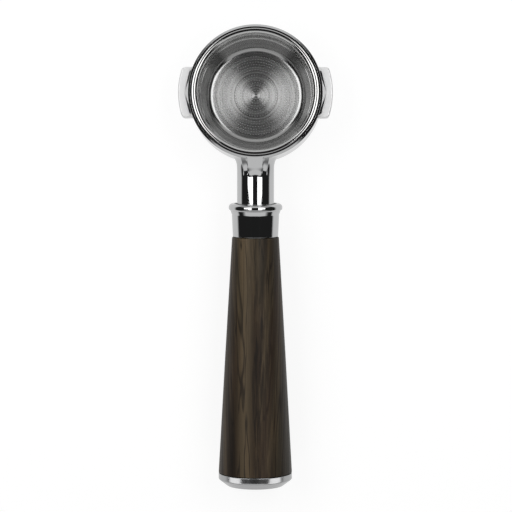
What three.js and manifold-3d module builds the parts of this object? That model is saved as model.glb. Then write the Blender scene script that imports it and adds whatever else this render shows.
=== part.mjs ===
// Bottomless portafilter for a 58 mm espresso group, with its filter basket and a turned wood handle.
// Millimetres, +Z up along the axis of the head. The origin is the centre of the basket's floor, the
// ears lie on the X axis and the handle runs towards -Y, drooping below the head.

import * as THREE from 'three';
import { mergeVertices } from 'three/addons/utils/BufferGeometryUtils.js';
import Module from 'manifold-3d';

const wasm = await Module();
wasm.setup();

// Driving dimensions, in millimetres and degrees.
const fitGap = 0.3;

// Filter basket, pressed from sheet: heights are above its floor.
const sheet = 0.9;
const rimHeight = 24.3;
const flangeRadius = 34.15;
const mouthRadius = 31.2;
const mouthBend = 1.4;
const shoulderRadius = 30.1;
const shoulderHeight = 8.8;
const coneFootRadius = 25.7;
const floorBend = 4.4;

// Head ring, ears and neck, one casting.
const ringRadius = 36.4;
const ringBottom = -6;
const ringTop = rimHeight - sheet - fitGap;
const boreRadius = 32.5;
const boreChamfer = 0.5;
const ringBevel = 1.25;
const ringBevelDrop = 1.1;
const ringFootRound = 1.5;
const earReach = 41.8;
const earWidth = 27.4;
const earTop = 18.5;
const earThickness = 7.5;
const earCorner = 2;
const neckRadius = 10.05;
const neckHeight = 8;
const handleDroop = 8;
const flareReach = 6.5;
const flareRise = 0.7;
const flareDip = 0.35;

// Retaining spring: a split wire ring, bent to three soft lobes, in a groove of the bore.
const wireRadius = 0.6;
const springHeight = 14;
const springRadius = 32.85;
const springLobe = 0.3;
const springGap = 14;
const grooveDepth = 1.6;
const grooveWidth = 2.2;

// Handle: stations are distances from the head's outer wall along the drooping axis.
const ferruleStart = 23.2;
const ferruleEnd = 41.1;
const lipRadius = 14.6;
const lipLength = 3.2;
const throatRadius = 13.75;
const collarRadius = 12.9;
const collarEndRadius = 12.35;
const neckSocketDepth = 5;
const webThickness = 4.8;
const gripStart = ferruleEnd + fitGap;
const gripEnd = 171;
const gripFrontRadius = 12.75;
const gripMidRadius = 16.5;
const gripEndRadius = 20.15;
const tenonRadius = 10.6;
const capBandEnd = 175;
const capEnd = 178.2;
const capFaceRadius = 15.5;
const capSpigotRadius = 14;
const capSpigotLength = 3;

// Threaded joints inside the handle, drawn at their thread's outer radius.
const studRadius = 6;
const studStart = 9;
const studEnd = 58;
const frontInsertRadius = 8.4;
const frontInsertEnd = 60;
const rearInsertRadius = 6.4;
const rearInsertLength = 14;
const capScrewRadius = 4;
const capScrewStart = 156;

const neckEnd = ferruleStart + neckSocketDepth - 1.4;
const ringSegments = 60;
const turnedSegments = 36;
const smallSegments = 20;

// Materials.
function finish(color, roughness, metalness) {
  return new THREE.MeshStandardMaterial({ color, roughness, metalness });
}

const chrome = () => finish(0xc9cacc, 0.12, 1);
const brushedSteel = () => finish(0xb4b5b6, 0.3, 1);
const plainSteel = () => finish(0x9a9b9d, 0.4, 1);
const brass = () => finish(0xb99a55, 0.35, 1);
const blackRubber = () => finish(0x1c1c1d, 0.8, 0);
const darkWood = () => finish(0x4a3d33, 0.55, 0);

// Outlines. A corner is [radius, height, rounding], and a rounding becomes an arc tangent to both sides.
function roundedOutline(corners, closed = false, steps = 3) {
  const points = [];
  const count = corners.length;
  corners.forEach(([x, y, rounding], index) => {
    const corner = new THREE.Vector2(x, y);
    if (!rounding) {
      points.push(corner);
      return;
    }
    const [lastX, lastY] = corners[(index + count - 1) % count];
    const [nextX, nextY] = corners[(index + 1) % count];
    const back = new THREE.Vector2(lastX, lastY).sub(corner).normalize();
    const ahead = new THREE.Vector2(nextX, nextY).sub(corner).normalize();
    const half = Math.acos(back.dot(ahead)) / 2;
    const bisector = back.clone().add(ahead).normalize();
    const centre = corner.clone().addScaledVector(bisector, rounding / Math.sin(half));
    const reach = rounding / Math.tan(half);
    const start = corner.clone().addScaledVector(back, reach).sub(centre).angle();
    const end = corner.clone().addScaledVector(ahead, reach).sub(centre).angle();
    const sweep = THREE.MathUtils.euclideanModulo(end - start + Math.PI, 2 * Math.PI) - Math.PI;
    for (let step = 0; step <= steps; step += 1) {
      const angle = start + (sweep * step) / steps;
      points.push(new THREE.Vector2(rounding, 0).rotateAround(new THREE.Vector2(), angle).add(centre));
    }
  });
  if (closed) points.push(points[0].clone());
  return points;
}

// A solid turned about its own Z axis.
function turned(corners, segments, closed = false, steps = 3) {
  const geometry = new THREE.LatheGeometry(roundedOutline(corners, closed, steps), segments);
  return geometry.rotateX(Math.PI / 2);
}

function ring(inner, outer, low, high, rounding, segments = smallSegments) {
  const corners = [
    [inner, low, rounding],
    [outer, low, rounding],
    [outer, high, rounding],
    [inner, high, rounding],
  ];
  return turned(corners, segments, true, 2);
}

function rod(radius, low, high, chamfer, segments = smallSegments) {
  const corners = [
    [0, low],
    [radius - chamfer, low],
    [radius, low + chamfer],
    [radius, high - chamfer],
    [radius - chamfer, high],
    [0, high],
  ];
  return turned(corners, segments);
}

// Booleans.
function toSolid(geometry) {
  const bare = geometry.clone();
  bare.deleteAttribute('normal');
  bare.deleteAttribute('uv');
  const merged = mergeVertices(bare);
  const kept = [];
  const index = merged.index.array;
  for (let corner = 0; corner < index.length; corner += 3) {
    const [a, b, c] = index.subarray(corner, corner + 3);
    if (a !== b && b !== c && c !== a) kept.push(a, b, c);
  }
  const mesh = new wasm.Mesh({
    numProp: 3,
    vertProperties: new Float32Array(merged.attributes.position.array),
    triVerts: new Uint32Array(kept),
  });
  return new wasm.Manifold(mesh);
}

function toGeometry(solid) {
  const mesh = solid.getMesh();
  const geometry = new THREE.BufferGeometry();
  geometry.setAttribute('position', new THREE.BufferAttribute(mesh.vertProperties, 3));
  geometry.setIndex(new THREE.BufferAttribute(mesh.triVerts, 1));
  geometry.computeVertexNormals();
  return geometry;
}

// The handle's frame: its Z axis runs down the handle from the head's outer wall, its Y axis points up.
const handleFrame = new THREE.Group();
handleFrame.position.set(0, -ringRadius, neckHeight);
handleFrame.rotation.x = THREE.MathUtils.degToRad(90 + handleDroop);
handleFrame.updateMatrixWorld();

// Head: ring with two ears and a neck. The neck's flare wraps round the ring and is flattened, with more
// of it above the neck than below.
function headRing() {
  const corners = [
    [0, ringBottom],
    [ringRadius, ringBottom, ringFootRound],
    [ringRadius, ringTop - ringBevelDrop, 0.4],
    [ringRadius - ringBevel, ringTop],
    [0, ringTop],
  ];
  return turned(corners, ringSegments);
}

function ear(side) {
  const half = earWidth / 2;
  const corner = Math.asin(half / earReach);
  const inner = boreRadius + 1.5;
  const outline = new THREE.Shape();
  outline.moveTo(inner, -half);
  outline.lineTo(earReach * Math.cos(corner) - earCorner, -half);
  outline.quadraticCurveTo(
    earReach * Math.cos(corner), -half,
    earReach * Math.cos(corner * 0.86), earReach * Math.sin(-corner * 0.86),
  );
  outline.absarc(0, 0, earReach, -corner * 0.86, corner * 0.86);
  outline.quadraticCurveTo(
    earReach * Math.cos(corner), half,
    earReach * Math.cos(corner) - earCorner, half,
  );
  outline.lineTo(inner, half);
  outline.closePath();
  const geometry = new THREE.ExtrudeGeometry(outline, {
    depth: earThickness,
    bevelEnabled: false,
    curveSegments: 5,
  });
  geometry.translate(0, 0, earTop - earThickness);
  if (side < 0) geometry.rotateZ(Math.PI);
  return geometry;
}

function neck() {
  const flareRadius = neckRadius + flareReach;
  const corners = [
    [0, -8],
    [flareRadius, -8],
    [flareRadius, 0],
    [neckRadius, 0, flareReach],
    [neckRadius, neckEnd - 0.6],
    [neckRadius - 0.6, neckEnd],
    [0, neckEnd],
  ];
  const geometry = turned(corners, turnedSegments, false, 7);
  const position = geometry.attributes.position;
  for (let index = 0; index < position.count; index += 1) {
    const across = position.getX(index);
    const up = position.getY(index);
    const flare = Math.hypot(across, up) - neckRadius;
    if (flare > 0) {
      const share = up > 0 ? flareRise : flareDip;
      const wrap = ringRadius - Math.sqrt(ringRadius ** 2 - across ** 2);
      position.setY(index, (up * (neckRadius + flare * share)) / (neckRadius + flare));
      position.setZ(index, position.getZ(index) - (wrap * flare) / flareReach);
    }
  }
  return geometry.applyMatrix4(handleFrame.matrixWorld);
}

function headBore() {
  const past = 2;
  const grooveLow = springHeight - grooveWidth / 2;
  const grooveHigh = springHeight + grooveWidth / 2;
  const corners = [
    [0, ringBottom - past],
    [boreRadius + boreChamfer + past, ringBottom - past],
    [boreRadius, ringBottom + boreChamfer],
    [boreRadius, grooveLow],
    [boreRadius + grooveDepth, grooveLow],
    [boreRadius + grooveDepth, grooveHigh],
    [boreRadius, grooveHigh],
    [boreRadius, ringTop - boreChamfer],
    [boreRadius + boreChamfer + past, ringTop + past],
    [0, ringTop + past],
  ];
  return turned(corners, ringSegments);
}

function studHole() {
  const depth = rod(studRadius + fitGap, studStart - 1.5, neckEnd + 2, 0.5);
  return depth.applyMatrix4(handleFrame.matrixWorld);
}

function head() {
  const casting = toSolid(headRing())
    .add(toSolid(ear(1)))
    .add(toSolid(ear(-1)))
    .add(toSolid(neck()));
  return toGeometry(casting.subtract(toSolid(headBore())).subtract(toSolid(studHole())));
}

// Filter basket: rolled flange, slightly tapered wall, conical shoulder and flat floor in one sheet.
function basket() {
  const footRound = floorBend + sheet;
  const coneRun = shoulderRadius - coneFootRadius;
  const coneSlant = Math.hypot(coneRun, shoulderHeight);
  const coneShift = (sheet * (coneSlant - coneRun)) / shoulderHeight;
  const corners = [
    [0, -sheet],
    [coneFootRadius + coneShift, -sheet, footRound],
    [shoulderRadius + sheet, shoulderHeight - 0.35, 1],
    [mouthRadius + sheet, rimHeight - sheet, mouthBend - sheet],
    [flangeRadius, rimHeight - sheet, 0.25],
    [flangeRadius, rimHeight, 0.5],
    [mouthRadius, rimHeight, mouthBend],
    [shoulderRadius, shoulderHeight],
    [coneFootRadius, 0, floorBend],
    [0, 0],
  ];
  return turned(corners, ringSegments);
}

// Retaining spring, a wire along a circle whose radius swells three times round.
class SpringLine extends THREE.Curve {
  getPoint(along, target = new THREE.Vector3()) {
    const open = THREE.MathUtils.degToRad(springGap);
    const angle = -Math.PI / 2 + open / 2 + along * (2 * Math.PI - open);
    const radius = springRadius + springLobe * Math.cos(3 * (angle + Math.PI / 2));
    return target.set(radius * Math.cos(angle), radius * Math.sin(angle), springHeight);
  }
}

function spring() {
  const section = new THREE.Shape();
  section.absarc(0, 0, wireRadius, 0, 2 * Math.PI);
  return new THREE.ExtrudeGeometry(section, {
    steps: 60,
    curveSegments: 4,
    bevelEnabled: false,
    extrudePath: new SpringLine(),
  });
}

// Ferrule: a lip around the neck, a hollow throat below it and a collar over the wood's tenon.
function ferrule() {
  const socketFloor = ferruleStart + neckSocketDepth;
  const webEnd = socketFloor + webThickness;
  const throatStart = ferruleStart + lipLength;
  const corners = [
    [neckRadius + fitGap, ferruleStart + 1.7],
    [neckRadius + 1.5, ferruleStart + 1.7],
    [neckRadius + 1.5, ferruleStart, 0.2],
    [lipRadius, ferruleStart, 1.9],
    [lipRadius, throatStart, 1.1],
    [throatRadius, throatStart + 0.4, 0.3],
    [collarRadius, throatStart + 2.7, 0.8],
    [collarEndRadius, ferruleEnd, 0.2],
    [tenonRadius + fitGap, ferruleEnd],
    [tenonRadius + fitGap, webEnd],
    [studRadius + fitGap, webEnd],
    [studRadius + fitGap, socketFloor],
    [neckRadius + fitGap, socketFloor],
  ];
  return turned(corners, turnedSegments, true, 4);
}

// Handle grip: a straight-sided cone with a slight swell, a tenon in front and a recess behind.
function grip() {
  const webEnd = ferruleStart + neckSocketDepth + webThickness;
  const tenonStart = webEnd + fitGap;
  const midway = (gripStart + gripEnd) / 2;
  const insertStart = gripEnd - capSpigotLength - rearInsertLength - 0.6;
  const corners = [
    [frontInsertRadius + fitGap, tenonStart],
    [tenonRadius, tenonStart, 0.5],
    [tenonRadius, gripStart],
    [gripFrontRadius, gripStart, 0.6],
    [gripMidRadius, midway, 900],
    [gripEndRadius, gripEnd, 0.3],
    [capSpigotRadius + fitGap, gripEnd],
    [capSpigotRadius + fitGap, gripEnd - capSpigotLength - fitGap],
    [rearInsertRadius + fitGap, gripEnd - capSpigotLength - fitGap],
    [rearInsertRadius + fitGap, insertStart],
    [0, insertStart],
  ];
  const frontHole = [
    [0, frontInsertEnd + fitGap],
    [frontInsertRadius + fitGap, frontInsertEnd + fitGap],
  ];
  return turned([...frontHole, ...corners], turnedSegments, false, 5);
}

// End cap: a spigot in the wood's recess, a band flush with the grip and a rounded, flattened end.
function endCap() {
  const holeEnd = gripEnd + 4;
  const spigotStart = gripEnd - capSpigotLength;
  const corners = [
    [0, holeEnd],
    [capScrewRadius + fitGap, holeEnd],
    [capScrewRadius + fitGap, spigotStart],
    [capSpigotRadius - 2.2, spigotStart, 0.4],
    [capSpigotRadius - 2.2, gripEnd - 0.2],
    [capSpigotRadius - 0.2, gripEnd - 0.2],
    [capSpigotRadius - 0.2, gripEnd + fitGap],
    [gripEndRadius, gripEnd + fitGap, 0.2],
    [gripEndRadius, capBandEnd, 1],
    [capFaceRadius, capEnd, 1],
    [0, capEnd],
  ];
  return turned(corners, turnedSegments);
}

// Assembly.
const portafilter = new THREE.Group();
portafilter.name = 'portafilter';
portafilter.add(handleFrame);

function place(parent, name, geometry, material) {
  const mesh = new THREE.Mesh(geometry, material);
  mesh.name = name;
  parent.add(mesh);
}

place(portafilter, 'portafilter_head', head(), chrome());
place(portafilter, 'filter_basket', basket(), brushedSteel());
place(portafilter, 'basket_spring', spring(), plainSteel());

const socketFloor = ferruleStart + neckSocketDepth;
const sealInner = neckRadius + fitGap;
const sealOuter = neckRadius + 1.5 - fitGap;
const sealEnd = ferruleStart + 1.7 - fitGap;
const capSeat = gripEnd - capSpigotLength;
const capSealInner = capSpigotRadius - 2.2 + fitGap;

place(handleFrame, 'handle_stud', rod(studRadius, studStart, studEnd, 1), plainSteel());
place(handleFrame, 'neck_washer', ring(
  studRadius + fitGap, neckRadius - 0.2, neckEnd + fitGap, socketFloor - fitGap, 0.1,
), blackRubber());
place(handleFrame, 'neck_seal', ring(
  sealInner, sealOuter, ferruleStart + 0.2, sealEnd, 0.3, turnedSegments,
), blackRubber());
place(handleFrame, 'ferrule', ferrule(), chrome());
place(handleFrame, 'wood_grip', grip(), darkWood());
place(handleFrame, 'front_insert', ring(
  studRadius + fitGap, frontInsertRadius, ferruleStart + neckSocketDepth + webThickness + fitGap,
  frontInsertEnd, 0.3,
), brass());
place(handleFrame, 'rear_insert', ring(
  capScrewRadius + fitGap, rearInsertRadius, capSeat - fitGap - rearInsertLength, capSeat - fitGap, 0.3,
), brass());
place(handleFrame, 'cap_screw', rod(capScrewRadius, capScrewStart, gripEnd + 3.6, 0.6), plainSteel());
place(handleFrame, 'cap_seal', ring(
  capSealInner, capSpigotRadius, capSeat + 0.2, gripEnd - 0.5, 0.4, turnedSegments,
), blackRubber());
place(handleFrame, 'end_cap', endCap(), chrome());

export default portafilter;
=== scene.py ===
# Looks of the bottomless portafilter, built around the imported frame.
# Metres, +Z up along the head's axis, the handle towards -Y, the ears on X.
import math
import bpy
import numpy as np
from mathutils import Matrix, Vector, geometry


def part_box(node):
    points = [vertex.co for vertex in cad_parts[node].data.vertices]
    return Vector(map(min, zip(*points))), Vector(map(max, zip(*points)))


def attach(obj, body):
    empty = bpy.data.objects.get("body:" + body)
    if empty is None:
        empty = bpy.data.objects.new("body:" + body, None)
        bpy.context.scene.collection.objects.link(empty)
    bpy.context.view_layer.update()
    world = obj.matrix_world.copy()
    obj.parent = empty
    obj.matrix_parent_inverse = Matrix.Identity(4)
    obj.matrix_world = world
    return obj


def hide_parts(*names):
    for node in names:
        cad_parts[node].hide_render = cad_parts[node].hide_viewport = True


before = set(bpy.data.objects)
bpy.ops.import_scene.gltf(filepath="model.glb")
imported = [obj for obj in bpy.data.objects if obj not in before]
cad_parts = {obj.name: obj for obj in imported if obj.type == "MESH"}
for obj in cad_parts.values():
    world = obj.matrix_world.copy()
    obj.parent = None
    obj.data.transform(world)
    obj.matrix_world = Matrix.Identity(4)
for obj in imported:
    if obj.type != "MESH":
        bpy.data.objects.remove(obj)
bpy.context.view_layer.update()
print("frame loaded:", len(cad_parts), "nodes")

mm = 0.001
headHigh = np.array(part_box("portafilter_head")[1]) / mm
basketLow, basketHigh = (np.array(corner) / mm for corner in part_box("filter_basket"))
ringRadius = headHigh[1]
ringTop = headHigh[2]
handleBody = "handled_head"
basketBody = "basket"

# The handle's own frame, in millimetres: side, up and along, from the ring's outer wall.
handle = {"droop": math.radians(8), "height": 8.0}
handleRoot = np.array([0.0, -ringRadius, handle["height"]])
sideAxis = np.array([1.0, 0.0, 0.0])
upAxis = np.array([0.0, -math.sin(handle["droop"]), math.cos(handle["droop"])])
alongAxis = np.array([0.0, -math.cos(handle["droop"]), -math.sin(handle["droop"])])


# The mesh helpers all work in millimetres. Points (side, up, along) of the handle's frame are carried into
# the scene's frame: root + side x side axis + up x up axis + along x along axis.
def fromHandle(points):
    side, up, along = np.split(points, 3, axis=-1)
    return handleRoot + side * sideAxis + up * upAxis + along * alongAxis


# A profile's corners are (radius, height, rounding). A rounding becomes an arc tangent to both sides,
# and a support point stands just outside each end of an arc, so that flats shade flat.
def roundedProfile(corners, closed=False, steps=8, support=0.12):
    count = len(corners)
    out = []
    for i, corner in enumerate(corners):
        here = np.array(corner[:2], float)
        rounding = corner[2] if len(corner) > 2 else 0
        if not rounding:
            out.append(here)
            continue
        back = np.array(corners[i - 1][:2], float) - here
        ahead = np.array(corners[(i + 1) % count][:2], float) - here
        backLength, aheadLength = np.linalg.norm(back), np.linalg.norm(ahead)
        back, ahead = back / backLength, ahead / aheadLength
        half = math.acos(np.clip(back @ ahead, -1, 1)) / 2
        reach = rounding / math.tan(half)
        bisector = (back + ahead) / np.linalg.norm(back + ahead)
        centre = here + bisector * rounding / math.sin(half)
        first, last = here + back * reach - centre, here + ahead * reach - centre
        start = math.atan2(first[1], first[0])
        sweep = (math.atan2(last[1], last[0]) - start + math.pi) % (2 * math.pi) - math.pi
        angles = start + sweep * np.linspace(0, 1, steps + 1)
        if backLength > reach + 2 * support:
            out.append(here + back * (reach + support))
        out.extend(centre + rounding * np.stack([np.cos(angles), np.sin(angles)], 1))
        if aheadLength > reach + 2 * support:
            out.append(here + ahead * (reach + support))
    if closed:
        out.append(out[0])
    return np.array(out)


# Quads of a grid of rows by columns: point (i, j) has number i x columns + j, and its quad runs to the next
# row and column. Columns join up, and rows join up too when closed.
def gridQuads(rows, columns, closeRows=False):
    i = np.arange(rows if closeRows else rows - 1)[:, None]
    j = np.arange(columns)[None, :]
    nextRow, nextColumn = (i + 1) % rows, (j + 1) % columns
    here, ahead = i * columns, nextRow * columns
    corners = [here + j, here + nextColumn, ahead + nextColumn, ahead + j]
    return np.stack([np.broadcast_to(c, (len(i), columns)) for c in corners], -1).reshape(-1, 4)


# Closed skin over a grid of points (rows, columns, 3): columns join up, and each open end is
# drawn together in a pole at its row's mean point.
def skin(points):
    rows, columns = points.shape[:2]
    around = np.arange(columns)
    after = (around + 1) % columns
    low, high = rows * columns, rows * columns + 1
    lastRow = (rows - 1) * columns
    vertices = np.vstack([points.reshape(-1, 3), points[0].mean(0), points[-1].mean(0)])
    triangles = np.vstack([
        np.stack([np.full(columns, low), after, around], 1),
        np.stack([np.full(columns, high), lastRow + around, lastRow + after], 1),
    ])
    return vertices, gridQuads(rows, columns), triangles


# Surface of revolution: (r cos a, r sin a, h) for each profile point and each angle. An open profile's
# points on the axis are left to the skin's poles.
def turned(profile, segments, closed=False):
    angle = np.linspace(0, 2 * np.pi, segments, endpoint=False)
    radius, height = profile[:, 0], profile[:, 1]
    onAxis = radius < 1e-6
    if not closed:
        radius, height = radius[~onAxis], height[~onAxis]
    points = np.stack([
        np.outer(radius, np.cos(angle)),
        np.outer(radius, np.sin(angle)),
        np.repeat(height[:, None], segments, 1),
    ], -1)
    if closed:
        rows = len(points) - 1
        return points[:-1].reshape(-1, 3), gridQuads(rows, segments, True), np.zeros((0, 3), int)
    return skin(points)


# several meshes as one, each one's point numbers moved up by the points before it
def joined(*parts):
    vertices, quads, triangles = [], [], []
    offset = 0
    for points, fours, threes in parts:
        vertices.append(points)
        quads.append(fours + offset)
        triangles.append(threes + offset)
        offset += len(points)
    return np.vstack(vertices), np.vstack(quads), np.vstack(triangles)


def makePiece(name, parts, material, body, nodes, sharp=35):
    vertices, quads, triangles = parts
    mesh = bpy.data.meshes.new(name)
    mesh.from_pydata((vertices * mm).tolist(), [], quads.tolist() + triangles.tolist())
    mesh.update()
    mesh.shade_smooth()
    mesh.set_sharp_from_angle(angle=math.radians(sharp))
    mesh.materials.append(material)
    piece = bpy.data.objects.new(name, mesh)
    bpy.context.scene.collection.objects.link(piece)
    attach(piece, body)
    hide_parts(*nodes)
    print("piece", name, len(mesh.vertices), "vertices", len(mesh.polygons), "faces")
    return piece


# Material helpers

class Nodes:
    def __init__(self, name):
        self.material = bpy.data.materials.new(name)
        self.material.use_nodes = True
        self.tree = self.material.node_tree
        self.shader = self.tree.nodes["Principled BSDF"]

    def add(self, kind, **settings):
        node = self.tree.nodes.new("ShaderNode" + kind)
        for key, value in settings.items():
            setattr(node, key, value)
        return node

    def link(self, source, target):
        self.tree.links.new(source, target)

    # object coordinates, turned and stretched by a Mapping node
    def place(self, scale=(1, 1, 1), turn=(0, 0, 0), shift=(0, 0, 0)):
        where = self.add("TexCoord")
        mapping = self.add("Mapping")
        mapping.inputs["Scale"].default_value = scale
        mapping.inputs["Rotation"].default_value = turn
        mapping.inputs["Location"].default_value = shift
        self.link(where.outputs["Object"], mapping.inputs["Vector"])
        return mapping.outputs["Vector"]

    def noise(self, vector, scale, detail=4.0, roughness=0.55, distortion=0.0):
        node = self.add("TexNoise")
        node.inputs["Scale"].default_value = scale
        node.inputs["Detail"].default_value = detail
        node.inputs["Roughness"].default_value = roughness
        node.inputs["Distortion"].default_value = distortion
        self.link(vector, node.inputs["Vector"])
        return node.outputs["Fac"]

    def math(self, operation, first, second=None):
        node = self.add("Math", operation=operation)
        for socket, value in zip(node.inputs, (first, second)):
            if value is None:
                continue
            if isinstance(value, (int, float)):
                socket.default_value = value
            else:
                self.link(value, socket)
        return node.outputs[0]

    def range(self, value, low, high, fromLow=0.0, fromHigh=1.0):
        node = self.add("MapRange")
        limits = {"From Min": fromLow, "From Max": fromHigh, "To Min": low, "To Max": high}
        for key, number in limits.items():
            node.inputs[key].default_value = number
        self.link(value, node.inputs["Value"])
        return node.outputs["Result"]

    def ramp(self, value, stops):
        node = self.add("ValToRGB")
        elements = node.color_ramp.elements
        while len(elements) < len(stops):
            elements.new(0.5)
        for element, (position, color) in zip(elements, stops):
            element.position = position
            element.color = (*color, 1)
        self.link(value, node.inputs["Fac"])
        return node.outputs["Color"]

    def mix(self, factor, first, second):
        node = self.add("Mix", data_type="RGBA")
        self.link(factor, node.inputs["Factor"])
        for socket, value in ((node.inputs[6], first), (node.inputs[7], second)):
            if isinstance(value, tuple):
                socket.default_value = (*value, 1)
            else:
                self.link(value, socket)
        return node.outputs[2]

    def bump(self, height, strength, distance):
        node = self.add("Bump")
        node.inputs["Strength"].default_value = strength
        node.inputs["Distance"].default_value = distance
        self.link(height, node.inputs["Height"])
        self.link(node.outputs["Normal"], self.shader.inputs["Normal"])

    def set(self, **values):
        for key, value in values.items():
            socket = self.shader.inputs[key.replace("_", " ")]
            socket.default_value = (*value, 1) if isinstance(value, tuple) else value


# Polished plate: very low roughness that wanders a little, with faint buffing marks.
chromeLook = {"color": (0.55, 0.553, 0.556), "rough": (0.02, 0.06), "cloudScale": 55.0,
              "buffing": 0.015, "buffingScale": 1400.0, "buffingDepth": 0.00002}


def polishedChrome(name):
    m = Nodes(name)
    m.set(Base_Color=chromeLook["color"], Metallic=1.0)
    cloud = m.noise(m.place(), chromeLook["cloudScale"], 3.0)
    m.link(m.range(cloud, *chromeLook["rough"], 0.35, 0.8), m.shader.inputs["Roughness"])
    marks = m.noise(m.place(), chromeLook["buffingScale"], 2.0)
    m.bump(marks, chromeLook["buffing"], chromeLook["buffingDepth"])
    return m.material


# Satin metal: a fine even grain roughens it. The cast ears are pale, the turned cap is smoother and darker.
satinLook = {"color": (0.86, 0.86, 0.86), "rough": (0.42, 0.52), "grain": 0.15}
capLook = {"color": (0.42, 0.422, 0.426), "rough": (0.18, 0.24), "grain": 0.06}
satinGrain = {"scale": 2600.0, "depth": 0.00004}


def satinMetal(name, look):
    m = Nodes(name)
    m.set(Base_Color=look["color"], Metallic=1.0)
    grain = m.noise(m.place(), satinGrain["scale"], 3.0)
    m.link(m.range(grain, *look["rough"]), m.shader.inputs["Roughness"])
    m.bump(grain, look["grain"], satinGrain["depth"])
    return m.material


# Steel turned on a lathe: fine rings about the head's axis, stretched highlights along the radius. The floor
# is brushed, the cone and wall above it are polished. Light is painted into the colour by zone: the wall is
# paler, a painted highlight, and the cone darker, painted shade. Distances are radii from the head's axis, in
# metres.
basketLook = {
    "flange": (0.5, 0.5, 0.497),
    # wall: painted highlight; cone: painted shade (the floor and flange keep the sheet's own tone)
    "wall": (0.95, 0.95, 0.945),
    "cone": (0.3, 0.3, 0.298),
    "floor": (0.5, 0.5, 0.497),
    "floorRough": (0.2, 0.34),
    "wallRough": 0.09,
    "stretch": 0.9,
    "broadScale": 900.0,
    "fineScale": 3600.0,
    "floorToCone": (0.0232, 0.0252),
    "coneToWall": (0.0302, 0.0305),
    "wallToFlange": (0.0311, 0.0315),
    "ringMarks": 0.25,
    "ringDepth": 0.00003,
}


def turnedSteel(name):
    m = Nodes(name)
    m.set(Metallic=1.0, Anisotropic=basketLook["stretch"], Anisotropic_Rotation=0.25)
    split = m.add("SeparateXYZ")
    m.link(m.place(), split.inputs[0])
    across = m.math("POWER", split.outputs["X"], 2.0)
    down = m.math("POWER", split.outputs["Y"], 2.0)
    radius = m.math("SQRT", m.math("ADD", across, down))
    rings = m.add("CombineXYZ")
    m.link(radius, rings.inputs["X"])
    fine = m.noise(rings.outputs[0], basketLook["fineScale"], 3.0, 0.6)
    broad = m.noise(rings.outputs[0], basketLook["broadScale"], 2.0, 0.5)
    onFloor = m.range(radius, 1.0, 0.0, *basketLook["floorToCone"])
    onWall = m.range(radius, 0.0, 1.0, *basketLook["coneToWall"])
    onFlange = m.range(radius, 0.0, 1.0, *basketLook["wallToFlange"])
    # Painted highlight and shade: the wall's base colour is paler and the cone's darker than the floor's and
    # flange's.
    upper = m.mix(onFlange, basketLook["wall"], basketLook["flange"])
    lower = m.mix(onFloor, basketLook["cone"], basketLook["floor"])
    m.link(m.mix(onWall, lower, upper), m.shader.inputs["Base Color"])
    brushed = m.range(broad, *basketLook["floorRough"], 0.3, 0.7)
    rougher = m.math("MULTIPLY", m.math("SUBTRACT", brushed, basketLook["wallRough"]), onFloor)
    m.link(m.math("ADD", rougher, basketLook["wallRough"]), m.shader.inputs["Roughness"])
    tangent = m.add("Tangent", direction_type="RADIAL", axis="Z")
    m.link(tangent.outputs[0], m.shader.inputs["Tangent"])
    share = m.math("ADD", m.math("MULTIPLY", onFloor, 0.9), 0.1)
    marks = m.math("MULTIPLY", m.math("ADD", fine, broad), share)
    m.bump(marks, basketLook["ringMarks"], basketLook["ringDepth"])
    return m.material


# Dark straight-grained wood. Everything runs along the handle: broad bands of brown, finer streaks, a paler
# band left of the middle that is a painted highlight, painted shade darkening the right side, thin dark
# wandering lines and a soft oil sheen.
woodLook = {
    "dark": (0.012, 0.0085, 0.006),
    "middle": (0.046, 0.03, 0.017),
    "light": (0.15, 0.108, 0.062),
    "shade": (0.026, 0.024, 0.017),
    "red": (0.062, 0.034, 0.022),
    "olive": (0.045, 0.042, 0.026),
    "bands": {"scale": 130.0, "stretch": 0.03},
    "streaks": {"scale": 700.0, "stretch": 0.012},
    "lines": {"scale": 190.0, "stretch": 0.006, "shift": 0.37},
    "tint": {"scale": 60.0, "stretch": 0.1},
    "stripe": {"at": -0.0056, "core": 0.0006, "reach": 0.0055},
    "shaded": (0.002, 0.011),
    "lineWidth": (0.004, 0.03),
    "rough": (0.42, 0.58),
    "poreDepth": 0.00012,
}


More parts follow.
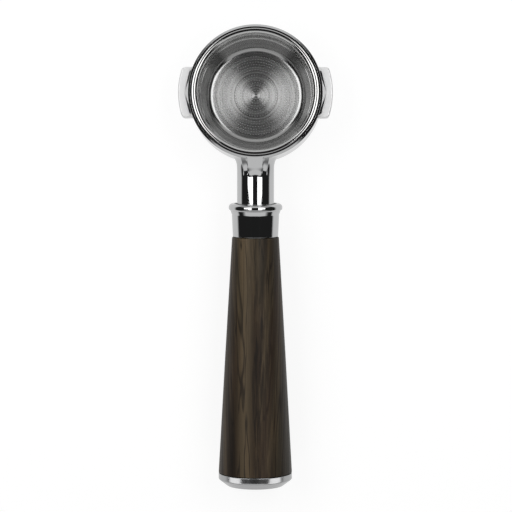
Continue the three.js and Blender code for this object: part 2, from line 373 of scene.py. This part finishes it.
def darkWood(name):
    m = Nodes(name)

    def grain(look, *shape):
        along = m.place((1, look["stretch"], 1), (-handle["droop"], 0, 0), (0, 0, look.get("shift", 0)))
        return m.noise(along, look["scale"], *shape)

    bands = grain(woodLook["bands"], 5.0, 0.6, 0.8)
    streaks = grain(woodLook["streaks"], 6.0, 0.65, 0.3)
    tint = grain(woodLook["tint"], 2.0, 0.5)
    lines = grain(woodLook["lines"], 2.0, 0.5, 0.5)
    body = m.ramp(bands, [(0.28, woodLook["dark"]), (0.48, woodLook["middle"]), (0.72, woodLook["light"])])
    grained = m.mix(m.range(streaks, 0.0, 0.6, 0.45, 0.62), body, woodLook["dark"])
    side = m.add("SeparateXYZ")
    m.link(m.place(), side.inputs[0])
    # Painted highlight: a paler band of the light wood colour, left of the middle, placed by the object's X.
    stripe = woodLook["stripe"]
    fromPaintedHighlight = m.math("ABSOLUTE", m.math("SUBTRACT", side.outputs["X"], stripe["at"]))
    onPaintedHighlight = m.range(fromPaintedHighlight, 0.6, 0.0, stripe["core"], stripe["reach"])
    withPaintedHighlight = m.mix(onPaintedHighlight, grained, woodLook["light"])
    # Painted shade: the right side is mixed towards the shade colour as X grows.
    shaded = m.mix(m.range(side.outputs["X"], 0.0, 0.55, *woodLook["shaded"]), withPaintedHighlight, woodLook["shade"])
    fromLine = m.math("ABSOLUTE", m.math("SUBTRACT", lines, 0.5))
    streaked = m.mix(m.range(fromLine, 0.8, 0.0, *woodLook["lineWidth"]), shaded, woodLook["dark"])
    reddened = m.mix(m.range(tint, 0.0, 0.5, 0.55, 0.75), streaked, woodLook["red"])
    tinted = m.mix(m.range(tint, 0.45, 0.0, 0.25, 0.45), reddened, woodLook["olive"])
    m.link(tinted, m.shader.inputs["Base Color"])
    m.set(IOR=1.3)
    m.link(m.range(streaks, *woodLook["rough"], 0.4, 0.65), m.shader.inputs["Roughness"])
    m.bump(streaks, 0.25, woodLook["poreDepth"])
    return m.material


# Moulded rubber: black and matte, with a fine speckle.
rubberLook = {"color": (0.012, 0.012, 0.012), "rough": (0.5, 0.75), "scale": 3000.0, "depth": 0.00005}


def blackRubber(name):
    m = Nodes(name)
    m.set(Base_Color=rubberLook["color"])
    speck = m.noise(m.place(), rubberLook["scale"], 3.0)
    m.link(m.range(speck, *rubberLook["rough"]), m.shader.inputs["Roughness"])
    m.bump(speck, 0.2, rubberLook["depth"])
    return m.material


# Drawn or turned metal of the small parts: fine lines along Y.
drawnLook = {"scale": 2200.0, "stretch": 0.05, "below": 0.08, "above": 0.1, "depth": 0.00003}


def drawnMetal(name, color, rough):
    m = Nodes(name)
    m.set(Base_Color=color, Metallic=1.0)
    lines = m.noise(m.place((1, drawnLook["stretch"], 1)), drawnLook["scale"], 3.0)
    low, high = rough - drawnLook["below"], rough + drawnLook["above"]
    m.link(m.range(lines, low, high), m.shader.inputs["Roughness"])
    m.bump(lines, 0.1, drawnLook["depth"])
    return m.material


chrome = polishedChrome("polishedChrome")
satin = satinMetal("satinCast", satinLook)
capMetal = satinMetal("satinCap", capLook)
basketSteel = turnedSteel("turnedSteel")
gripWood = darkWood("darkWood")
rubber = blackRubber("blackRubber")
wireSteel = drawnMetal("springWire", (0.55, 0.55, 0.56), 0.3)
zincSteel = drawnMetal("zincPlate", (0.5, 0.51, 0.53), 0.35)
insertBrass = drawnMetal("turnedBrass", (0.72, 0.55, 0.26), 0.28)
print("materials made")


# Head ring: one turned profile from the foot over the outer wall to the rim, and back down the bore
ring = {"bore": 32.5, "bevel": 1.25, "bevelDrop": 1.1, "footRound": 1.5, "foot": basketLow[2] - 5.1,
        "chamfer": 0.5, "springHeight": 14.0, "grooveDepth": 1.6, "grooveWidth": 2.2, "segments": 288}
grooveLow = ring["springHeight"] - ring["grooveWidth"] / 2
grooveHigh = ring["springHeight"] + ring["grooveWidth"] / 2
outerCorners = [
    (ring["bore"] + ring["chamfer"], ring["foot"]),
    (ringRadius, ring["foot"], ring["footRound"]),
    (ringRadius, ringTop - ring["bevelDrop"], 0.5),
    (ringRadius - ring["bevel"], ringTop, 0.12),
    (ring["bore"] + ring["chamfer"], ringTop),
]
boreCorners = [
    (ring["bore"], ringTop - ring["chamfer"]),
    (ring["bore"], grooveHigh, 0.15),
    (ring["bore"] + ring["grooveDepth"], grooveHigh, 0.4),
    (ring["bore"] + ring["grooveDepth"], grooveLow, 0.4),
    (ring["bore"], grooveLow, 0.15),
    (ring["bore"], ring["foot"] + ring["chamfer"]),
]
ringProfile = roundedProfile(outerCorners + boreCorners, closed=True, steps=12)
makePiece("head_ring", turned(ringProfile, ring["segments"], closed=True), chrome,
          handleBody, ["portafilter_head"])

# Neck: a round bar that sweeps up into the ring's shoulder, down into its wall and out at its sides
neck = {"radius": 10.05, "end": 26.8, "chamfer": 0.5, "spread": 13.3, "sideStart": 2.2, "topStart": 8.0,
        "cornerStart": 2.6, "lowStart": 3.2, "topReach": 34.5, "footReach": -3.2,
        "shoulderTilt": math.radians(20), "barShare": 0.32, "cornerShare": -0.26, "ringShare": 0.37,
        "topShare": 0.25, "tucked": (0.4, 1.2), "columns": 240, "rows": 40}


# Each column is a cubic from the bar (tangent along it) to the ring's skin (tangent to the skin, or
# sloping down from it at the top). The column's angle a goes round the bar; the ring end lies at
# x = spread sin a, and at a travel along the ring's own profile that goes with cos a. It leaves the bar
# furthest out towards the top, with a term in cos a sin^2 a that is greatest between the top and the sides.
def neckSweep():
    angle = np.linspace(0, 2 * np.pi, neck["columns"], endpoint=False)
    sine, cosine = np.sin(angle), np.cos(angle)
    above, below = np.clip(cosine, 0, 1), np.clip(-cosine, 0, 1)
    outer = roundedProfile(outerCorners, steps=24)[1:]
    travel = np.concatenate([[0], np.cumsum(np.linalg.norm(np.diff(outer, axis=0), axis=1))])
    wall = outer[:, 0] > ringRadius - 1e-6
    middle = np.interp(handle["height"], outer[wall, 1], travel[wall])
    rimEdge = np.argmax(outer[:, 1] > ringTop - 1e-6)
    topAt = travel[rimEdge] + outer[rimEdge, 0] - neck["topReach"]
    footAt = np.interp(neck["footReach"], outer[wall, 1], travel[wall])
    where = middle + (topAt - middle) * above ** 0.6 - (middle - footAt) * below
    radius = np.interp(where, travel, outer[:, 0])
    height = np.interp(where, travel, outer[:, 1])
    slope = np.gradient(outer, travel, axis=0)
    normalR = np.interp(where, travel, slope[:, 1])
    normalZ = np.interp(where, travel, -slope[:, 0])
    turn = np.arcsin(neck["spread"] * sine / radius)
    outward = np.stack([np.sin(turn), -np.cos(turn), np.zeros_like(turn)], 1)
    onRing = outward * radius[:, None] + np.outer(height, [0, 0, 1])
    normal = outward * normalR[:, None] + np.outer(normalZ, [0, 0, 1])
    normal /= np.linalg.norm(normal, axis=1, keepdims=True)
    corner = above * sine ** 2
    start = neck["sideStart"] + (neck["topStart"] - neck["sideStart"]) * above ** 0.3
    start += neck["cornerStart"] * corner + (neck["lowStart"] - neck["sideStart"]) * below ** 1.5
    onBar = fromHandle(np.stack([neck["radius"] * sine, neck["radius"] * cosine, start], 1))
    gap = onRing - onBar
    inward = gap - (gap * normal).sum(1, keepdims=True) * normal
    inward /= np.linalg.norm(inward, axis=1, keepdims=True)
    rise = np.outer(np.sin(neck["shoulderTilt"] * above), [0, 0, 1])
    inward = inward * np.cos(neck["shoulderTilt"] * above)[:, None] + rise
    length = np.linalg.norm(gap, axis=1, keepdims=True)
    barPull = length * (neck["barShare"] + neck["cornerShare"] * corner)[:, None]
    ringPull = length * (neck["ringShare"] + neck["topShare"] * above ** 0.6)[:, None]
    controls = [onBar, onBar - alongAxis * barPull, onRing - inward * ringPull, onRing]
    t = np.linspace(0, 1, neck["rows"])[:, None, None]
    weights = [(1 - t) ** 3, 3 * t * (1 - t) ** 2, 3 * t * t * (1 - t), t ** 3]
    sweep = sum(w * c[None] for w, c in zip(weights, controls))
    tucked = onRing + inward * neck["tucked"][0] - normal * neck["tucked"][1]
    core = np.array([0, -(ring["bore"] + 2.6), handle["height"]])
    root = core + (tucked - core) * [0.3, 0.1, 0.3]
    rows = [root, tucked, *sweep[::-1]]
    end, bar, chamfer = neck["end"], neck["radius"], neck["chamfer"]
    stations = [(bar, start + 0.12), (bar, start + 2), (bar, end - chamfer - 0.3),
                (bar, end - chamfer - 0.1), (bar - chamfer, end)]
    for across, station in stations:
        circle = [across * sine, across * cosine, np.broadcast_to(station, angle.shape)]
        rows.append(fromHandle(np.stack(circle, 1)))
    return skin(np.array(rows))


makePiece("head_neck", neckSweep(), chrome, handleBody, ["portafilter_head"], sharp=60)

# Ears: a plan outline with rounded corners, carried up a rounded edge
ear = {"reach": headHigh[0], "width": 27.4, "top": 18.5, "thickness": 7.5, "corner": 2.2, "edge": 0.7}


# Outline points in plan, anticlockwise, with their outward normals: two straight cheeks, an outer arc
# concentric with the ring, and a corner arc tangent to both at each end.
def earOutline():
    half, reach, corner = ear["width"] / 2, ear["reach"], ear["corner"]
    cornerY = half - corner
    cornerX = math.sqrt((reach - corner) ** 2 - cornerY ** 2)
    turn = math.atan2(cornerY, cornerX)
    inner = ring["bore"] + 1.5
    lowCorner = np.linspace(-math.pi / 2, -turn, 14)
    outer = np.linspace(-turn, turn, 60)[1:-1]
    highCorner = np.linspace(turn, math.pi / 2, 14)
    cheek = np.linspace(0, 1, 6)[:-1]
    innerEdge = np.linspace(half, -half, 12)[1:-1]
    points = np.vstack([
        np.stack([inner + (cornerX - inner) * cheek, np.full(5, -half)], 1),
        np.stack([cornerX + corner * np.cos(lowCorner), -cornerY + corner * np.sin(lowCorner)], 1),
        np.stack([reach * np.cos(outer), reach * np.sin(outer)], 1),
        np.stack([cornerX + corner * np.cos(highCorner), cornerY + corner * np.sin(highCorner)], 1),
        np.stack([cornerX + (inner - cornerX) * (cheek + 0.2), np.full(5, half)], 1),
        np.stack([np.full(10, inner), innerEdge], 1),
    ])
    normals = np.vstack([
        np.tile([0, -1], (5, 1)),
        np.stack([np.cos(lowCorner), np.sin(lowCorner)], 1),
        np.stack([np.cos(outer), np.sin(outer)], 1),
        np.stack([np.cos(highCorner), np.sin(highCorner)], 1),
        np.tile([0, 1], (5, 1)),
        np.tile([-1, 0], (10, 1)),
    ])
    return points, normals


# The outline is carried up in rows, each drawn in along its normals by d at height h. Over both edges of
# radius e: d = e (1 - sin t), h = low + e (1 - cos t) below, d = e (1 - cos t), h = high - e + e sin t above.
def earPad(side):
    points, normals = earOutline()
    low, high, edge = ear["top"] - ear["thickness"], ear["top"], ear["edge"]
    bend = np.linspace(0, np.pi / 2, 8)
    face = [edge + 1.0, edge + 0.15]
    inset = np.concatenate([face, edge * (1 - np.sin(bend)), [0, 0], edge * (1 - np.cos(bend)), face[::-1]])
    cheek = [low + edge + 0.15, high - edge - 0.15]
    lowEdge, highEdge = low + edge * (1 - np.cos(bend)), high - edge + edge * np.sin(bend)
    height = np.concatenate([[low, low], lowEdge, cheek, highEdge, [high, high]])
    rows = [np.column_stack([points - normals * d, np.full(len(points), h)]) for d, h in zip(inset, height)]
    grid = np.array(rows)
    if side < 0:
        grid = grid * [-1, -1, 1]
    return skin(grid)


makePiece("head_ears", joined(earPad(1), earPad(-1)), satin, handleBody, ["portafilter_head"])

# Filter basket: sheet wall turned from the inner floor's edge over the flange to the outer floor's
# edge, and a floor pierced by rings of fine holes
basket = {"sheet": 0.9, "rim": basketHigh[2], "flange": basketHigh[0], "bead": 2.1, "beadTilt": (-24, 85),
          "shoulder": 30.35, "ledge": 30.0, "shoulderHeight": 8.8, "coneFoot": 25.7, "floorBend": 4.4,
          "segments": 288, "floorEdge": 22.6}
pierced = {"pitch": 1.42, "rings": 15, "holeTop": 0.14, "holeBottom": 0.18, "sides": 10, "emptied": 0.8}


# The flange is a bead: an arc of radius b whose normal tilts from the outer edge to the wall,
# (r, h) = (crown - b sin t, rim - b + b cos t), and the same arc a sheet's thickness below it.
def basketWall():
    sheet, rim, bead = basket["sheet"], basket["rim"], basket["bead"]
    run = basket["ledge"] - basket["coneFoot"]
    slant = math.hypot(run, basket["shoulderHeight"])
    shift = sheet * (slant - run) / basket["shoulderHeight"]
    tilt = np.radians(np.linspace(*basket["beadTilt"], 22))
    crown = basket["flange"] + bead * math.sin(tilt[0])
    outward = np.stack([-np.sin(tilt), np.cos(tilt)], 1)
    top, under = (np.array([crown, rim - bead]) + b * outward for b in (bead, bead - sheet))
    lower = roundedProfile([
        (basket["floorEdge"], -sheet),
        (basket["coneFoot"] + shift, -sheet, basket["floorBend"] + sheet),
        (basket["shoulder"] + sheet, basket["shoulderHeight"] - 0.4, 1.6),
        under[-1],
    ], steps=14)
    upper = roundedProfile([
        top[-1],
        (basket["shoulder"], basket["shoulderHeight"] + 0.15, 0.15),
        (basket["ledge"], basket["shoulderHeight"], 0.15),
        (basket["coneFoot"], 0, basket["floorBend"]),
        (basket["floorEdge"], 0),
    ], steps=14)
    profile = np.vstack([lower, under[-2::-1], top[:-1], upper])
    angle = np.linspace(0, 2 * np.pi, basket["segments"], endpoint=False)
    points = np.stack([np.outer(profile[:, 0], np.cos(angle)), np.outer(profile[:, 0], np.sin(angle)),
                       np.repeat(profile[:, 1:], len(angle), 1)], -1)
    return points


# The floor: ring k carries 6k holes at k pitches from the centre. A constrained triangulation joins the
# hole rims and the floor's edge. Its triangles are dropped where their middle is nearer to a hole's centre
# than the emptied share of the hole's radius. The underside is the same one turned over, and each hole gets
# its wall.
def piercedBasket():
    wall = basketWall()
    columns = basket["segments"]
    centres = [np.zeros((1, 2))]
    for k in range(1, pierced["rings"] + 1):
        around = np.arange(6 * k) * 2 * np.pi / (6 * k) + 0.37 * k
        centres.append(k * pierced["pitch"] * np.stack([np.cos(around), np.sin(around)], 1))
    centres = np.vstack(centres)
    sides = pierced["sides"]
    around = np.arange(sides) * 2 * np.pi / sides
    circle = np.stack([np.cos(around), np.sin(around)], 1)
    top = (centres[:, None] + pierced["holeTop"] * circle).reshape(-1, 2)
    bottom = (centres[:, None] + pierced["holeBottom"] * circle).reshape(-1, 2)
    edge = wall[-1, :, :2]
    flat = np.vstack([edge, top])
    ringEdges = [(i, (i + 1) % columns) for i in range(columns)]
    holeIndex = columns + np.arange(len(centres))[:, None] * sides + np.arange(sides)
    holeEdges = np.stack([holeIndex, np.roll(holeIndex, -1, 1)], -1).reshape(-1, 2)
    found = geometry.delaunay_2d_cdt([Vector(p) for p in flat], ringEdges + holeEdges.tolist(), [], 1, 1e-7)
    triangles = np.array([f for f in found[2] if len(f) == 3])
    original = np.array([source[0] for source in found[3]])
    triangles = original[triangles]
    middle = flat[triangles].mean(1)
    a, b, c = (flat[triangles[:, i]] for i in range(3))
    leftTurn = (b - a)[:, 0] * (c - a)[:, 1] - (b - a)[:, 1] * (c - a)[:, 0] > 0
    triangles[~leftTurn] = triangles[~leftTurn][:, ::-1]
    fromCentres = middle[:, None] - centres
    nearest = np.hypot(fromCentres[..., 0], fromCentres[..., 1]).min(1)
    triangles = triangles[nearest > pierced["holeTop"] * pierced["emptied"]]

    rows = len(wall)
    base = rows * columns
    upperRims = np.column_stack([top, np.zeros(len(top))])
    lowerRims = np.column_stack([bottom, np.full(len(bottom), -basket["sheet"])])
    upper = np.where(triangles < columns, triangles + (rows - 1) * columns, triangles - columns + base)
    lower = np.where(triangles < columns, triangles, triangles - columns + base + len(top))
    upperHole = holeIndex - columns + base
    lowerHole = upperHole + len(top)
    upperNext, lowerNext = np.roll(upperHole, -1, 1), np.roll(lowerHole, -1, 1)
    holeWalls = np.stack([upperHole, upperNext, lowerNext, lowerHole], -1).reshape(-1, 4)
    quads = np.vstack([gridQuads(rows, columns), holeWalls])
    vertices = np.vstack([wall.reshape(-1, 3), upperRims, lowerRims])
    return vertices, quads, np.vstack([upper, lower[:, ::-1]])


makePiece("filter_basket_fine", piercedBasket(), basketSteel, basketBody, ["filter_basket"])

# Retaining spring: a round wire along a three-lobed circle, open beside the neck
spring = {"wire": 0.6, "radius": 32.85, "lobe": 0.3, "gap": math.radians(14)}


# Wire of radius w along r = R + lobe cos 3a, its section in the radial and Z directions. In the first and
# last hundredth of its run the section's radius is w sin t, so both ends are rounded.
def wireRing():
    quarter = np.linspace(0, np.pi / 2, 6)
    share = np.concatenate([np.sin(quarter), np.ones(238), np.sin(quarter)[::-1]])
    step = np.concatenate([1 - np.cos(quarter), np.linspace(1, 99, 238), 99 + np.sin(quarter)]) / 100
    angle = -np.pi / 2 + spring["gap"] / 2 + step * (2 * np.pi - spring["gap"])
    middle = spring["radius"] + spring["lobe"] * np.cos(3 * (angle + np.pi / 2))
    around = np.linspace(0, 2 * np.pi, 16, endpoint=False)
    radius = middle[:, None] + spring["wire"] * share[:, None] * np.cos(around)
    height = ring["springHeight"] + spring["wire"] * share[:, None] * np.sin(around)
    points = np.stack([radius * np.cos(angle)[:, None], radius * np.sin(angle)[:, None], height], -1)
    return skin(points[1:-1, ::-1])


makePiece("basket_spring_wire", wireRing(), wireSteel, handleBody, ["basket_spring"])

# Ferrule: lip, throat and collar in one turned profile along the handle
ferrule = {"start": 23.2, "end": 41.1, "lip": 14.6, "bead": 3.2, "throat": 13.75, "flare": 5.9,
           "collar": 12.9, "collarEnd": 12.35, "socket": 5.0, "web": 4.8, "sealSeat": 1.7, "tenon": 10.6,
           "gap": 0.3, "stud": 6.0}


# Corners (radius, along the handle, rounding), turned about the handle's axis. The outside runs from the
# seal's seat over the lip's bead, down the throat and along the collar; the inside comes back through the
# tenon's hole, the stud's hole in the web and the neck's socket.
def ferruleShell():
    start, end, gap = ferrule["start"], ferrule["end"], ferrule["gap"]
    socketFloor = start + ferrule["socket"]
    webEnd = socketFloor + ferrule["web"]
    bore = neck["radius"] + gap
    corners = [
        (bore, start + ferrule["sealSeat"], 0.1),
        (neck["radius"] + 1.5, start + ferrule["sealSeat"], 0.2),
        (neck["radius"] + 1.5, start, 0.25),
        (ferrule["lip"], start, 1.9),
        (ferrule["lip"], start + ferrule["bead"], 1.1),
        (ferrule["throat"], start + ferrule["bead"] + 0.4, 0.3),
        (ferrule["collar"], start + ferrule["flare"], 0.8),
        (ferrule["collarEnd"], end, 0.25),
        (ferrule["tenon"] + gap, end, 0.2),
        (ferrule["tenon"] + gap, webEnd, 0.3),
        (ferrule["stud"] + gap, webEnd, 0.2),
        (ferrule["stud"] + gap, socketFloor, 0.2),
        (bore, socketFloor, 0.2),
    ]
    return roundedProfile(corners, closed=True, steps=12)


def alongHandle(parts):
    points, quads, triangles = parts
    return fromHandle(points), quads, triangles


makePiece("ferrule_fine", alongHandle(turned(ferruleShell(), 192, closed=True)), chrome,
          handleBody, ["ferrule"])

# Wood grip: a long cone with a slight swell, tenon and insert holes
grip = {"start": 41.4, "end": 171.0, "front": 12.75, "middle": 16.5, "back": 20.12, "insert": 8.7,
        "insertEnd": 60.3, "recess": 14.3, "recessDepth": 3.3, "rearInsert": 6.7, "rearDepth": 17.6}


# Corners as for the ferrule, from the front insert's floor to the rear insert's. The cone's swell is one arc
# of 900 mm about its middle.
def gripProfile():
    tenonStart = ferrule["start"] + ferrule["socket"] + ferrule["web"] + ferrule["gap"]
    recessFloor = grip["end"] - grip["recessDepth"]
    corners = [
        (0, grip["insertEnd"]),
        (grip["insert"], grip["insertEnd"]),
        (grip["insert"], tenonStart, 0.4),
        (ferrule["tenon"], tenonStart, 0.5),
        (ferrule["tenon"], grip["start"]),
        (grip["front"], grip["start"], 0.7),
        (grip["middle"], (grip["start"] + grip["end"]) / 2, 900),
        (grip["back"], grip["end"], 0.35),
        (grip["recess"], grip["end"], 0.2),
        (grip["recess"], recessFloor, 0.2),
        (grip["rearInsert"], recessFloor, 0.2),
        (grip["rearInsert"], grip["end"] - grip["rearDepth"]),
        (0, grip["end"] - grip["rearDepth"]),
    ]
    return roundedProfile(corners, steps=10)


makePiece("wood_grip_fine", alongHandle(turned(gripProfile(), 192)), gripWood,
          handleBody, ["wood_grip"])

# End cap: spigot, band and a rounded, flattened end
cap = {"band": 174.6, "end": 178.17, "face": 15.5, "spigot": 11.8, "spigotLength": 3.0, "seal": 13.8,
       "sealSunk": 0.2, "gap": 0.3, "screw": 4.3, "hole": 175.0}


# Corners as for the ferrule, from the screw's blind hole over the spigot and the seal's seat to the band and
# the flat end.
def capProfile():
    spigotStart = grip["end"] - cap["spigotLength"]
    sealFloor, bandStart = grip["end"] - cap["sealSunk"], grip["end"] + cap["gap"]
    corners = [
        (0, cap["hole"]),
        (cap["screw"], cap["hole"]),
        (cap["screw"], spigotStart, 0.3),
        (cap["spigot"], spigotStart, 0.4),
        (cap["spigot"], sealFloor, 0.2),
        (cap["seal"], sealFloor, 0.1),
        (cap["seal"], bandStart, 0.1),
        (grip["back"], bandStart, 0.25),
        (grip["back"], cap["band"], 1.2),
        (cap["face"], cap["end"], 0.6),
        (0, cap["end"]),
    ]
    return roundedProfile(corners, steps=10)


endCap = makePiece("end_cap_fine", alongHandle(turned(capProfile(), 192)), capMetal,
                   handleBody, ["end_cap"])

# CAD pieces that stay: a finish for each
for node, material in (("handle_stud", zincSteel), ("neck_washer", rubber), ("neck_seal", rubber),
                       ("front_insert", insertBrass), ("rear_insert", insertBrass),
                       ("cap_screw", zincSteel), ("cap_seal", rubber)):
    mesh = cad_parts[node].data
    mesh.materials.clear()
    mesh.materials.append(material)
print("carried-over pieces finished")

# Stage: pale floor, world, lights and camera. The floor is a tilted disc just under the ring's far foot and
# the end cap's lowest point: z = foot + slope (y - foot's y).
floorLook = {"radius": 1.3, "clearance": 0.05}
footPoint = np.array([ringRadius - ring["footRound"], ring["foot"]])
capLow = handleRoot + alongAxis * cap["band"] - upAxis * grip["back"]
slope = (footPoint[1] - capLow[2]) / (footPoint[0] - capLow[1])
angle = np.linspace(0, 2 * np.pi, 96, endpoint=False)
floorX = floorLook["radius"] * np.cos(angle)
floorY = floorLook["radius"] * np.sin(angle)
floorZ = (footPoint[1] - floorLook["clearance"]) * mm + slope * (floorY - footPoint[0] * mm)
floorMesh = bpy.data.meshes.new("floor")
floorMesh.from_pydata(np.stack([floorX, floorY, floorZ], 1).tolist(), [], [list(range(96))])
floor = bpy.data.objects.new("floor", floorMesh)
bpy.context.scene.collection.objects.link(floor)

# The floor glows a little, so that it stays white to its edge; it falls away to dark at the sides
# for the polished metal's reflections only.
paperLook = {"seen": 0.86, "reflected": 0.68, "fadeFrom": 0.12, "fadeTo": 0.4}
paper = Nodes("paperFloor")
paper.set(Base_Color=(0.2, 0.2, 0.2), Roughness=1.0, Specular_IOR_Level=0.0, Emission_Color=(1.0, 1.0, 1.0))
spot = paper.add("SeparateXYZ")
paper.link(paper.place(), spot.inputs[0])
aside = paper.math("ABSOLUTE", spot.outputs["X"])
reflected = paper.range(aside, paperLook["reflected"], 0.02, paperLook["fadeFrom"], paperLook["fadeTo"])
path = paper.add("LightPath")
glowing = paper.add("Mix", data_type="FLOAT")
paper.link(path.outputs["Is Camera Ray"], glowing.inputs[0])
paper.link(reflected, glowing.inputs[2])
glowing.inputs[3].default_value = paperLook["seen"]
paper.link(glowing.outputs[0], paper.shader.inputs["Emission Strength"])
floorMesh.materials.append(paper.material)

world = bpy.data.worlds.new("studio")
bpy.context.scene.world = world
world.use_nodes = True
sky = world.node_tree
background = sky.nodes["Background"]


def skyNode(kind, **settings):
    node = sky.nodes.new("ShaderNode" + kind)
    for key, value in settings.items():
        setattr(node, key, value)
    return node


def skyMath(operation, first, second):
    node = skyNode("Math", operation=operation)
    for socket, value in zip(node.inputs, (first, second)):
        if isinstance(value, (int, float)):
            socket.default_value = value
        else:
            sky.links.new(value, socket)
    return node.outputs[0]


def skyStep(value, low, high):
    node = skyNode("MapRange", interpolation_type="SMOOTHSTEP")
    node.inputs["From Min"].default_value = low
    node.inputs["From Max"].default_value = high
    sky.links.new(value, node.inputs["Value"])
    return node.outputs["Result"]


# Dark overhead and at the sides, bright in front and behind, dimmer at the horizon, and plain white to the
# camera.
studio = {"dark": 0.02, "bright": 0.8, "overhead": (0.80, 0.90), "sides": (0.62, 0.78),
          "horizon": (0.0, 0.26), "horizonShare": 0.25, "seen": 1.0}
direction = skyNode("TexCoord")
parts = skyNode("SeparateXYZ")
sky.links.new(direction.outputs["Generated"], parts.inputs[0])
across, along, up = (parts.outputs[axis] for axis in "XYZ")
flatSquare = skyMath("ADD", skyMath("MULTIPLY", across, across), skyMath("MULTIPLY", along, along))
flatLength = skyMath("MAXIMUM", skyMath("SQRT", flatSquare, 0), 0.001)
sideways = skyMath("DIVIDE", skyMath("ABSOLUTE", across, 0), flatLength)
belowOverhead = skyMath("SUBTRACT", 1.0, skyStep(up, *studio["overhead"]))
frontOrBack = skyMath("SUBTRACT", 1.0, skyStep(sideways, *studio["sides"]))
horizon = skyStep(skyMath("ABSOLUTE", up, 0), *studio["horizon"])
raised = skyMath("ADD", skyMath("MULTIPLY", horizon, 1 - studio["horizonShare"]), studio["horizonShare"])
glow = skyMath("MULTIPLY", skyMath("MULTIPLY", belowOverhead, frontOrBack), raised)
glow = skyMath("ADD", skyMath("MULTIPLY", glow, studio["bright"]), studio["dark"])
rays = skyNode("LightPath")
blend = skyNode("Mix", data_type="FLOAT")
sky.links.new(rays.outputs["Is Camera Ray"], blend.inputs[0])
sky.links.new(glow, blend.inputs[2])
blend.inputs[3].default_value = studio["seen"]
sky.links.new(blend.outputs[0], background.inputs["Strength"])
background.inputs["Color"].default_value = (1, 1, 1, 1)

# Two long soft strips overhead, left and right of the handle, and a soft panel at each side of its end,
# which lights the end cap only.
strips = {"height": 0.8, "front": -0.25, "back": 0.42, "radiance": 2.6,
          "spans": ((-0.90, -0.23), (0.185, 0.735))}
panels = {"distance": 0.75, "near": -0.2, "far": -1.0, "low": 0.0, "high": 0.68, "radiance": 1.75}


# A soft rectangle of the given radiance: its power is radiance x pi x area.
def softLight(name, width, length, radiance, at, turn=(0, 0, 0)):
    light = bpy.data.lights.new(name, "AREA")
    light.shape = "RECTANGLE"
    light.size = width
    light.size_y = length
    light.energy = radiance * math.pi * width * length
    lamp = bpy.data.objects.new(name, light)
    lamp.location = at
    lamp.rotation_euler = turn
    lamp.visible_camera = False
    bpy.context.scene.collection.objects.link(lamp)
    return lamp


for number, (left, right) in enumerate(strips["spans"]):
    softLight(f"strip{number}", right - left, strips["back"] - strips["front"], strips["radiance"],
              ((left + right) / 2, (strips["front"] + strips["back"]) / 2, strips["height"]))
capOnly = bpy.data.collections.new("capOnly")
capOnly.objects.link(endCap)
panelWidth, panelLength = panels["high"] - panels["low"], panels["near"] - panels["far"]
panelY, panelZ = (panels["near"] + panels["far"]) / 2, (panels["low"] + panels["high"]) / 2
for side in (-1, 1):
    panel = softLight(f"panel{side}", panelWidth, panelLength, panels["radiance"],
                      (side * panels["distance"], panelY, panelZ), (0, side * math.pi / 2, 0))
    panel.light_linking.receiver_collection = capOnly

cameraLook = {"lens": 191.25, "sensor": 36.0, "turn": (2.3, 1.0756, 0.198), "at": (0.0283, -0.1472, 1.4819)}
camera = bpy.data.objects.new("camera", bpy.data.cameras.new("camera"))
camera.data.lens = cameraLook["lens"]
camera.data.sensor_width = cameraLook["sensor"]
camera.data.clip_end = 20.0
camera.location = cameraLook["at"]
camera.rotation_euler = [math.radians(angle) for angle in cameraLook["turn"]]
bpy.context.scene.collection.objects.link(camera)
bpy.context.scene.camera = camera
bpy.context.scene.view_settings.view_transform = "Standard"
print("stage set")
